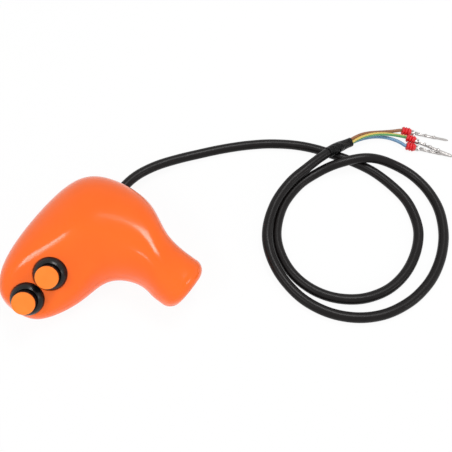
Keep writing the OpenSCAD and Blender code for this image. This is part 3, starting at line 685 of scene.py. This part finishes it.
def pressed(p, middle, inset):
    """A skin point after both presses. middle is the height of its section's middle."""
    seat, normal = np.array(first_seat), np.array(panel_normal)
    fade = 1 - smooth_step(((p - seat) @ panel_across - fade_start) / fade_length)
    lift = fade * smooth_step((p[2] - middle) / side_fade)
    over = (p - seat) @ normal - panel_above_seat + inset
    q = p - normal * lift * soft_positive(over, panel_soft)
    z = q[2] - inset
    sink = belly_sink * (1 - smooth_step(z / belly_reach))
    q[2] = inset + max(0, soft_positive(z, belly_soft) - sink)
    return q


def spread(v):
    """Turns a circle's sine or cosine into that of a softened square."""
    return math.copysign(abs(v) ** (2 / section_power), v)


def skin_point(t, past_end, turn, inset):
    """A point of the skin. past_end runs from 0 to 90 degrees round the neck's end edge."""
    middle, half, height, above, below, lean = section(t, inset)
    size = np.linalg.norm(half)
    k = math.radians(past_end)
    r = neck_edge - inset
    shrink = 1 - r * (1 - math.cos(k)) / size
    base = np.array([*middle, height]) + neck_line * r * math.sin(k)
    across = half * spread(math.cos(turn)) * shrink
    rise = spread(math.sin(turn)) * shrink * (below if turn > math.pi else above)
    forward = np.array([half[1], -half[0]]) / size * math.sin(lean) * rise
    return pressed(base + np.array([*(across + forward), rise * math.cos(lean)]), base[2], inset)


# %% [markdown]
# ## Two halves
#
# The grip is moulded as two halves that meet along a line low on its side. Each half is a closed
# shell with a real wall. A ring of points goes round the outer skin, over the rim, back along the
# inner skin and over the other rim. The rim's outer edge is softened, which leaves the fine groove
# that shows where the halves meet.

# %% Grip: half shells
rim_edge, parting_gap, first_step = 0.00012, 0.0001, 0.0015
columns, rows = 56, 130
shell_sharp_angle = 32
steps_along = [first_step + (1 - first_step) * (k / (rows - 1)) ** 1.15 for k in range(rows)]
insert_hole, hole_edge = 0.0081, 0.0002


def half_ring(t, past_end, front, hole=None, depth=0.0):
    """One closed ring of a half shell. hole is its radius where it runs round the insert's hole."""
    sign = 1 if front else -1
    turns = np.linspace(0, math.pi, columns + 1)
    turns = turns if front else 2 * math.pi - turns
    inner_level = section(t, 0)[2] + sign * parting_gap / 2
    ahead = neck_edge * math.sin(math.radians(past_end)) if hole is None else depth
    level = inner_level + neck_line[2] * ahead
    centre = np.array([*neck_end, neck_height]) + neck_line * depth
    outer = []
    for turn in turns:
        if hole is None:
            p = skin_point(t, past_end, turn, 0)
        else:
            p = centre + hole * (np.array([*neck_side, 0]) * math.cos(turn) + neck_up * math.sin(turn))
        p[2] = sign * max(sign * p[2], sign * level + rim_edge)
        outer.append(p)
    inner = []
    for turn in turns:
        p = skin_point(t, 0, turn, wall)
        p[2] = sign * max(sign * p[2], sign * inner_level)
        inner.append(p)
    rims = []
    for p, q in ((outer[-1], inner[-1]), (outer[0], inner[0])):
        inward = (q - p)[:2] / max(np.linalg.norm((q - p)[:2]), 1e-9)
        rims.append(np.array([*(p[:2] + inward * rim_edge), level]))
    return outer + [rims[0]] + inner[::-1] + [rims[1]]


def half_shell(name, front):
    rings = [half_ring(t, 0, front) for t in steps_along]
    rings += [half_ring(1, angle, front) for angle in np.linspace(9, 90, 10)]
    edge = ((hole_edge, 0), (hole_edge / 4, hole_edge / 4), (0, hole_edge), (0, neck_edge))
    rings += [half_ring(1, 90, front, insert_hole + wider, neck_edge - deeper) for wider, deeper in edge]
    size = len(rings[0])
    faces = grid_faces(len(rings), size)
    faces.append(tuple(range(size))[::-1])
    last = (len(rings) - 1) * size
    back = last + 2 * columns + 2
    faces += [(last + k, last + k + 1, back - 1 - k, back - k) for k in range(columns)]
    faces += [(last + columns, last + columns + 1, last + columns + 2), (last, back, back + 1)]
    return make_piece(name, [p for ring in rings for p in ring], faces, shell_sharp_angle)


grip_front = half_shell("grip_front", True)
grip_rear = half_shell("grip_rear", False)
cad_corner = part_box("front_shell")[0]
loft_corner = Vector([min(v.co[i] for v in grip_front.data.vertices) for i in range(3)])
grip_shift = Vector((cad_corner.x - loft_corner.x, cad_corner.y - loft_corner.y, 0))
for half in (grip_front, grip_rear):
    half.data.transform(Matrix.Translation(grip_shift))
print("grip faces", len(grip_front.data.polygons), len(grip_rear.data.polygons))
print("shift in mm", grip_shift / MM)

# %% [markdown]
# ## Openings in the shells
#
# A mould makes the openings of a real shell, and here they are cut. Each button stands in a well: a
# shallow flat face outside, a round hole, and a flat face inside for the nut. The rear half gets
# four deep holes for the screws, and a collar with a bore for the cable's grommet. Cuts can leave
# points a hair apart, so these are merged at the end.

# %% Grip: openings
button_pitch = 0.0194
seats = [first_seat + grip_shift, first_seat + grip_shift - row_axis * button_pitch]


def switch_frame(seat):
    across = panel_normal.cross(row_axis)
    turn = Matrix((row_axis, across, panel_normal)).transposed().to_4x4()
    return Matrix.Translation(seat) @ turn


well_r, hole_r, nut_r = 9.8, 7.05, 9.2
panel, nut_room = 2.4, 5.5
well = [(0, 30), (well_r, 30), (well_r, 0), (hole_r, 0), (hole_r, -panel)]
well += [(nut_r, -panel), (nut_r, -nut_room), (0, -nut_room)]
for seat in seats:
    cut(grip_front, turned("well_cutter", well, switch_frame(seat), sides=128))

screw_hole = [(0, -1), (3.55, -1), (3.55, 0.1), (3.15, 0.5), (3.1, 4.5), (0, 4.5)]
for t, share in [(0.28, 0.47), (0.43, 0.46), (0.65, 0.34), (0.53, -0.4)]:
    middle, half_width = section(t, 0)[:2]
    x, y = middle + half_width * share + np.array(grip_shift)[:2]
    cut(grip_rear, turned("screw_cutter", screw_hole, Matrix.Translation((x, y, 0)), sides=48))

exit_frame = frame_on(exit_point, exit_axis)
collar = [(0, -6), (6, -6)] + arc(5.6, 0, 0.4, 0, 90, 6) + [(0, 0.4)]
cut(grip_rear, turned("collar", collar, exit_frame), "UNION")
bore = [(0, -14), (4.2, -14), (4.2, 0.42), (5.8, 0.42), (5.8, 8), (0, 8)]
cut(grip_rear, turned("bore_cutter", bore, exit_frame))
for half in (grip_front, grip_rear):
    print(half.name, "edges left open:", clean(half.data, 2e-6, 1e-6))
    shade(half, shell_sharp_angle)
print("seats in mm", [[round(c / MM, 2) for c in seat] for seat in seats])

# %% [markdown]
# ## Push buttons
#
# Each switch is a domed black bezel round a black cap with a flat orange face. The dome ends at the
# well that the cap slides in, where its finely rounded edge catches the light. The face's edge is
# only slightly rounded, so it shows as a thin light ring. All three are turned pieces.

# %% Push buttons
bezels, caps, cap_faces = [], [], []
bezel = [(6.5, -14), (6.5, -7.02), (6.9, -7), (6.9, -0.02), (9.42, -0.02), (9.5, 0.08)]
bezel += arc(4, -1.2, 5.7, 15.3, 57.8, 22) + arc(6.85, 3.328, 0.35, 57.8, 180, 10)
bezel += [(6.5, 0.8), (2.25, 0.8), (2.25, -1.2), (5.2, -1.2), (5.2, -14)]
cap = [(0, 3.52), (6.0, 3.52)] + arc(5.9, 4.0, 0.5, -90, 0, 5) + [(6.4, 8.2), (6.32, 8.28), (0, 8.28)]
face = [(0, 8.3), (6.34, 8.3), (6.4, 8.36)] + arc(6.0, 8.8, 0.4, 0, 90, 9) + [(5.3, 9.19), (0, 9.18)]
for number, seat in enumerate(seats, 1):
    matrix = switch_frame(seat)
    bezels.append(turned(f"bezel_{number}", bezel, matrix, sides=128, sharp_angle=40, closed=True))
    caps.append(turned(f"button_cap_{number}", cap, matrix, sides=128, sharp_angle=40))
    cap_faces.append(turned(f"button_face_{number}", face, matrix, sides=128, sharp_angle=40))
print("bezels, caps and faces", len(bezels) + len(caps) + len(cap_faces))

# %% [markdown]
# ## Return springs
#
# Inside each switch a coil spring pushes the cap back. Its ends come from the CAD node, and the share
# of its height that it keeps when its button goes in is worked out and printed.

# %% Return springs
spring_radius, wire_radius, cap_travel = 1.7, 0.22, 2.5
spring_turns, steps_a_turn = 4, 24
springs, spring_seats = [], []
for number, seat in enumerate(seats, 1):
    matrix = switch_frame(seat)
    node = frame["nodes"][f"return_spring_{number}"]
    heights = [(matrix.inverted() @ node.matrix_world @ v.co).z / MM for v in node.data.vertices]
    low, high = min(heights), max(heights)
    count = spring_turns * steps_a_turn
    rise = (high - low - 2 * wire_radius) / count
    coil = [
        on_circle(matrix, spring_radius, 2 * math.pi * k / steps_a_turn, low + wire_radius + rise * k)
        for k in range(count + 1)
    ]
    springs.append(tube(f"coil_spring_{number}", coil, even(wire_radius * MM), sides=10))
    spring_seats.append((on_circle(matrix, 0, 0, low), 1 - cap_travel / (high - low)))
print("springs keep", [round(keep, 2) for seat, keep in spring_seats], "of their height")

# %% [markdown]
# ## Grommet, insert and lever thread
#
# The grommet is a soft rubber sleeve that seals the cable's way in. It grips the collar with a barb
# and a low flange, and its short tail has grooves so that it can bend. At the neck's end, which dips
# away from the camera, a moulded-in insert carries a real female thread for the lever. The insert is
# written as rings, with a radius in millimetres for each angle.

# %% Grommet
grommet_profile = [(3.2, -7.4), (4.4, -7.4), (4.8, -6.9), (4.75, -6.05), (4.15, -6), (4.15, 0.4)]
grommet_profile += [(4.55, 0.4)] + arc(4.55, 0.55, 0.15, -60, 0, 4) + arc(4.5, 0.8, 0.2, 0, 90, 5)
for k in range(3):
    z, r = 1.55 + 0.9 * k, 3.95 - 0.1 * k
    grommet_profile += [(r - 0.18, z - 0.42)] + arc(r - 0.3, z, 0.3, -60, 60, 6)
grommet_profile += [(3.55, 3.9), (3.4, 4.0), (3.2, 3.95)]
grommet = turned("cable_grommet_tail", grommet_profile, exit_frame, sharp_angle=45, closed=True)
print("grommet profile points", len(grommet_profile))

# %% Threaded insert
neck_point = Vector(np.array([*neck_end, neck_height]) + neck_edge * neck_line) + grip_shift
insert_frame = frame_on(neck_point, -Vector(neck_line))
thread_pitch, thread_top, thread_bottom = 1.75, 5.1, 6.0
thread_start, thread_depth, thread_fade = 1.2, 20.0, 1.5
insert_length, insert_flats, insert_corner_r = 24.0, 17.0, 9.6
collar_r, collar_end = 8.0, 7.17
insert_sides, rings_a_pitch = 72, 8
ring_count = int((thread_depth - 2 * thread_start) / thread_pitch * rings_a_pitch)
heights = [thread_start + k * thread_pitch / rings_a_pitch for k in range(ring_count)]
turns = np.arange(insert_sides) / insert_sides
from_middle = (2 * math.pi * turns + math.pi / 6) % (math.pi / 3) - math.pi / 6
hexagon = np.minimum(insert_flats / 2 / np.cos(from_middle), insert_corner_r)


def thread(z):
    """The bore's radii at a height. They wind in and out, one pitch a turn, and fade at the far end."""
    wave = abs(2 * ((z / thread_pitch - turns) % 1) - 1)
    fade = min(1, (heights[-1] - z) / thread_fade)
    return thread_top + (thread_bottom - thread_top) * np.clip((wave - 0.12) / 0.76, 0, 1) * fade


insert_profile = [(0, thread_depth), (2, thread_depth), (5.1, thread_depth - 0.6)]
insert_profile += [(thread(z), z) for z in heights[::-1]]
insert_profile += [(6.15, 0.3), (6.3, 0.22), (collar_r - 0.2, 0.22), (collar_r, 0.4)]
insert_profile += [(collar_r, collar_end - 0.01), (collar_r, collar_end), (hexagon, collar_end)]
insert_profile += [(hexagon, insert_length), (0, insert_length)]
insert_points = [
    on_circle(insert_frame, r, 2 * math.pi * turn, z)
    for radii, z in insert_profile for r, turn in zip(np.broadcast_to(radii, insert_sides), turns)
]
insert = make_piece("threaded_insert", insert_points, grid_faces(len(insert_profile), insert_sides), 34)
print("thread pitch", thread_pitch, "mm")

# %% [markdown]
# ## Joining pieces to the frame
#
# Every new mesh now takes the place of its CAD node and is told which body it moves with, so the
# caps follow the button joints and all else stays with the grip. Its finish is named in the same
# table and put on further down. CAD nodes that nobody sees from outside keep their CAD meshes and
# get real finishes too.

# %% Joining to the frame
placed = [
    (grip_front, "grip", "grip", "front_shell"),
    (grip_rear, "grip", "grip", "rear_shell"),
    (grommet, "grip", "black_rubber", "cable_grommet"),
    (insert, "grip", "insert_metal", "lever_insert"),
    (cable, "grip", "cable_sheath", "cable"),
    (sleeve, "grip", "shrink_sleeve", "heat_shrink"),
]
for k, colour in enumerate(("brown", "green", "blue")):
    placed += [
        (cores[k], "grip", f"{colour}_wire", f"core_{colour}"),
        (seals[k], "grip", "seal_rubber", f"wire_seal_{k + 1}"),
        (contacts[k], "grip", "contact_metal", f"contact_{k + 1}"),
    ]
for k, button in enumerate(("button_1", "button_2")):
    placed += [
        (bezels[k], "grip", "black_plastic", f"housing_{k + 1}"),
        (springs[k], "grip", "spring_steel", f"return_spring_{k + 1}"),
        (caps[k], button, "black_plastic", f"cap_{k + 1}"),
        (cap_faces[k], button, "button_cap", f"cap_face_{k + 1}"),
    ]
for piece, body, slot, node in placed:
    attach(piece, body)
    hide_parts(node)
for k, (spring_seat, keep) in enumerate(spring_seats):
    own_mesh(springs[k])
print("pieces placed", len(placed))

# %% [markdown]
# ## Facts about the cords
#
# A cord is a real length of something flexible. The photograph shows the cable from end to end, so
# its length is the route's. Each core is a cord too, from the sleeve to its contact.

# %% Cord facts
print("cords: the cable and three cores")

# %% [markdown]
# ## Finishes of the moulded pieces
#
# The grip is polished plastic. Its orange is strong in red, weak in green and almost without blue,
# and a low roughness makes its gloss. A polished moulding still ripples very slightly. The buttons'
# faces are a lighter orange with a satin surface, and the bezels and caps are black nylon with a
# fine grain.

# %% Moulded finishes
finishes = {
    "grip": surface_finish(
        "polished_orange_plastic", (0.94, 0.13, 0.004), (0.97, 0.142, 0.006), (0.13, 0.18),
        900, 260, 35, 0.00003, level=0.35),
    "button_cap": surface_finish(
        "satin_orange_plastic", (0.95, 0.215, 0.018), (0.98, 0.235, 0.024), (0.32, 0.42),
        3000, 6000, 180, level=0.3),
    "black_plastic": surface_finish(
        "black_nylon", (0.004, 0.0035, 0.0035), (0.008, 0.007, 0.007), (0.2, 0.3),
        2500, 5200, 240, level=0.3),
    "white_plastic": surface_finish(
        "natural_acetal", (0.74, 0.72, 0.66), (0.8, 0.79, 0.74), (0.3, 0.42),
        1500, 4000, 300),
}
print("moulded finishes", sorted(finishes))

# %% [markdown]
# ## Finishes of the rubber, the sheath and the sleeve
#
# The sheath is extruded, so its faint lines run along the cable. The tube's own coordinates give
# noise that is fine round the cable and long along it. The cable also carries a little dust. The
# shrunk sleeve's gloss shows its puckers. Silicone seals let a little light in, which keeps their
# red bright.

# %% Rubber and sheath finishes
def tube_coordinates(tree):
    """A tube's own coordinates: its turn and its length in metres."""
    coordinates = tree.nodes.new("ShaderNodeUVMap")
    coordinates.uv_map = "round_and_along"
    return coordinates.outputs["UV"]


finishes["cable_sheath"], tree, shader = new_finish("extruded_sheath")
mapping = tree.nodes.new("ShaderNodeMapping")
place = feed(tree, mapping, Vector=tube_coordinates(tree), Scale=(60, 90, 1))["Vector"]
lines = feed(tree, tree.nodes.new("ShaderNodeTexNoise"), Vector=place, Scale=1, Detail=2)["Fac"]
dust = spread_to(tree, noise(tree, 420, detail=5), 0, 1)
feed(
    tree, shader,
    Base_Color=two_colours(tree, dust, (0.003, 0.002, 0.002), (0.006, 0.0045, 0.0045)),
    Roughness=spread_to(tree, lines, 0.3, 0.38),
    Normal=bumped(tree, lines, 0.5, 0.00001), Specular_IOR_Level=0.19,
)
finishes["shrink_sleeve"] = surface_finish(
    "shrunk_polyolefin", (0.001, 0.001, 0.001), (0.002, 0.002, 0.002), (0.1, 0.16),
    900, 450, 300, 0.002, level=0.13)
finishes["black_rubber"] = surface_finish(
    "moulded_rubber", (0.005, 0.005, 0.005), (0.009, 0.009, 0.009), (0.4, 0.55),
    2000, 4500, 300, 0.00003, level=0.18)
finishes["seal_rubber"] = surface_finish(
    "red_silicone", (0.62, 0.006, 0.012), (0.7, 0.01, 0.018), (0.34, 0.46), 2600, 5000, 500)
seal_tree = finishes["seal_rubber"].node_tree
feed(seal_tree, seal_tree.nodes["Principled BSDF"], Subsurface_Weight=0.25,
     Subsurface_Radius=(0.0012, 0.0003, 0.0003), Subsurface_Scale=0.6)
print("finishes so far", len(finishes))

# %% [markdown]
# ## Finishes of the cores
#
# The brown and blue cores are plain. The earth core is green with a yellow stripe that winds slowly
# round it, because the wire twists as the stripe is laid on. Turn plus length gives the stripe,
# which covers a share of the round and starts at a given turn.

# %% Core finishes
finishes["brown_wire"] = surface_finish(
    "brown_core", (0.25, 0.1, 0.04), (0.3, 0.125, 0.052), (0.3, 0.4), 1800, 4000, 300)
finishes["blue_wire"] = surface_finish(
    "blue_core", (0.13, 0.26, 0.42), (0.16, 0.3, 0.47), (0.3, 0.4), 1800, 4000, 300)

turns_per_metre, first_turn, stripe_share = 3, 0.03, 0.42
finishes["green_wire"], tree, shader = new_finish("green_yellow_core")
parts = feed(tree, tree.nodes.new("ShaderNodeSeparateXYZ"), Vector=tube_coordinates(tree))
turn = calculate(tree, "MULTIPLY_ADD", parts["Y"], turns_per_metre, parts["X"])
wrapped = calculate(tree, "FRACT", calculate(tree, "ADD", turn, first_turn))
on_stripe = calculate(tree, "LESS_THAN", wrapped, stripe_share)
texture = noise(tree, 3000)
feed(
    tree, shader,
    Base_Color=two_colours(tree, on_stripe, (0.11, 0.33, 0.11), (0.66, 0.46, 0.1)),
    Roughness=spread_to(tree, texture, 0.3, 0.42), Normal=bumped(tree, texture, 0.4, 0.00002),
)
print("finishes so far", len(finishes))

# %% [markdown]
# ## Metal finishes
#
# Tin plating is silvery and soft, with broad reflections. Zinc, nickel, brass, aluminium and spring
# steel differ in colour and in how sharp their reflections are.

# %% Metal finishes
metals = {
    "contact_metal": ("tinned_bronze", (0.42, 0.4, 0.39), (0.54, 0.515, 0.5), (0.26, 0.38)),
    "brass": ("stamped_brass", (0.78, 0.57, 0.27), (0.85, 0.64, 0.32), (0.22, 0.38)),
    "insert_metal": ("turned_aluminium", (0.74, 0.74, 0.75), (0.82, 0.82, 0.83), (0.2, 0.36)),
    "nut_metal": ("nickel_plate", (0.66, 0.64, 0.6), (0.74, 0.72, 0.68), (0.16, 0.3)),
    "screw_steel": ("zinc_plate", (0.6, 0.61, 0.63), (0.7, 0.71, 0.74), (0.24, 0.4)),
    "spring_steel": ("spring_wire", (0.62, 0.63, 0.65), (0.7, 0.71, 0.73), (0.2, 0.34)),
}
for slot, (name, first, second, rough) in metals.items():
    finishes[slot] = surface_finish(name, first, second, rough, 2200, 3600, 500, metal=1)
print("metal finishes", sorted(metals))

# %% [markdown]
# ## Applying the finishes
#
# Every piece and every CAD node that is still shown gets the finish named by its slot.

# %% Applying finishes
def dress(shown, slot):
    shown.data.materials.clear()
    shown.data.materials.append(finishes[slot])


for piece, body, slot, node in placed:
    dress(piece, slot)
slots = {row["node"]: row["material_slot"] for row in frame["record"]["subparts"]}
replaced = {node for piece, body, slot, node in placed}
carried = [name for name in frame["nodes"] if name not in replaced]
for name in carried:
    dress(frame["nodes"][name], slots[name])
print("CAD nodes with their own finish:", len(carried))

# %% [markdown]
# ## Floor and world
#
# The photograph is a cut-out on white. The floor is white for the camera and for reflections, and it
# still takes a faint shadow. The world is white where it is seen, but as a light it is brighter in
# front, which lights the near side and leaves the far side a little darker.

# %% Floor and world
front_level, back_level = 1.15, 0.05
floor_reach, floor_colour, floor_glow = 4.0, 0.93, 0.94


def seen_directly(tree):
    """1 for rays from the camera, from mirrors and through clear things, else 0."""
    rays = tree.nodes.new("ShaderNodeLightPath").outputs
    either = calculate(tree, "MAXIMUM", rays["Is Camera Ray"], rays["Is Glossy Ray"])
    return calculate(tree, "MAXIMUM", either, rays["Is Transmission Ray"])


floor_mesh = bpy.data.meshes.new("white_floor")
corners = [(x * floor_reach, y * floor_reach, 0) for x, y in ((-1, -1), (1, -1), (1, 1), (-1, 1))]
floor_mesh.from_pydata(corners, [], [(0, 1, 2, 3)])
floor = bpy.data.objects.new("white_floor", floor_mesh)
floor.location.z = cad_low.z - 0.0001
bpy.context.collection.objects.link(floor)
floor_material, tree, shader = new_finish("white_sweep")
feed(tree, shader, Base_Color=(*[floor_colour] * 3, 1), Roughness=0.9, Specular_IOR_Level=0)
glow = feed(tree, tree.nodes.new("ShaderNodeEmission"), Color=(1, 1, 1, 1), Strength=1)
glow_share = calculate(tree, "MULTIPLY", seen_directly(tree), floor_glow)
mixed = tree.nodes.new("ShaderNodeMixShader")
for socket, source in zip(mixed.inputs, (glow_share, shader.outputs[0], glow[0])):
    connect(tree, socket, source)
feed(tree, tree.nodes["Material Output"], Surface=mixed.outputs[0])
floor_mesh.materials.append(floor_material)

world = bpy.data.worlds.new("soft_room")
world.use_nodes = True
bpy.context.scene.world = world
tree = world.node_tree
around = tree.nodes.new("ShaderNodeTexCoord").outputs["Generated"]
direction = feed(tree, tree.nodes.new("ShaderNodeSeparateXYZ"), Vector=around)
room = spread_to(tree, direction["Y"], front_level, back_level, start=-1, end=1)
strength = spread_to(tree, seen_directly(tree), room, 1, start=0, end=1)
feed(tree, tree.nodes["Background"], Color=(1, 1, 1, 1), Strength=strength)
bpy.context.scene.view_settings.view_transform = "Standard"
print("room level", front_level, "to", back_level)

# %% [markdown]
# ## Softboxes
#
# Three flat lamps over the grip add the highlights of a polished moulding: one shows in the palm and
# on the neck, one by the buttons, and one at the neck's end. They are small, so the highlights stay
# small and the orange round them stays deep.

# %% Softboxes
grip_middle = Vector((0.024, -0.006, 0.039))
softbox_height = 0.75


def softbox(name, aside, ahead, width, depth, brightness, turn=0):
    """A flat lamp over the grip, pointing down. Its place and size are given per metre of height."""
    lamp_data = bpy.data.lights.new(name, "AREA")
    lamp_data.shape = "RECTANGLE"
    lamp_data.size = width * softbox_height
    lamp_data.size_y = depth * softbox_height
    lamp_data.energy = brightness * math.pi * lamp_data.size * lamp_data.size_y
    lamp = bpy.data.objects.new(name, lamp_data)
    lamp.location = grip_middle + Vector((aside, ahead, 1)) * softbox_height
    lamp.rotation_euler = (0, 0, math.radians(turn))
    bpy.context.collection.objects.link(lamp)


softbox("right_softbox", 0.29, 0.25, 0.27, 0.46, 13, turn=22)
softbox("left_softbox", -0.67, -0.48, 0.2, 0.42, 13)
softbox("side_softbox", 2.4, -0.85, 0.9, 0.5, 8)
print("softboxes", len(bpy.data.lights))
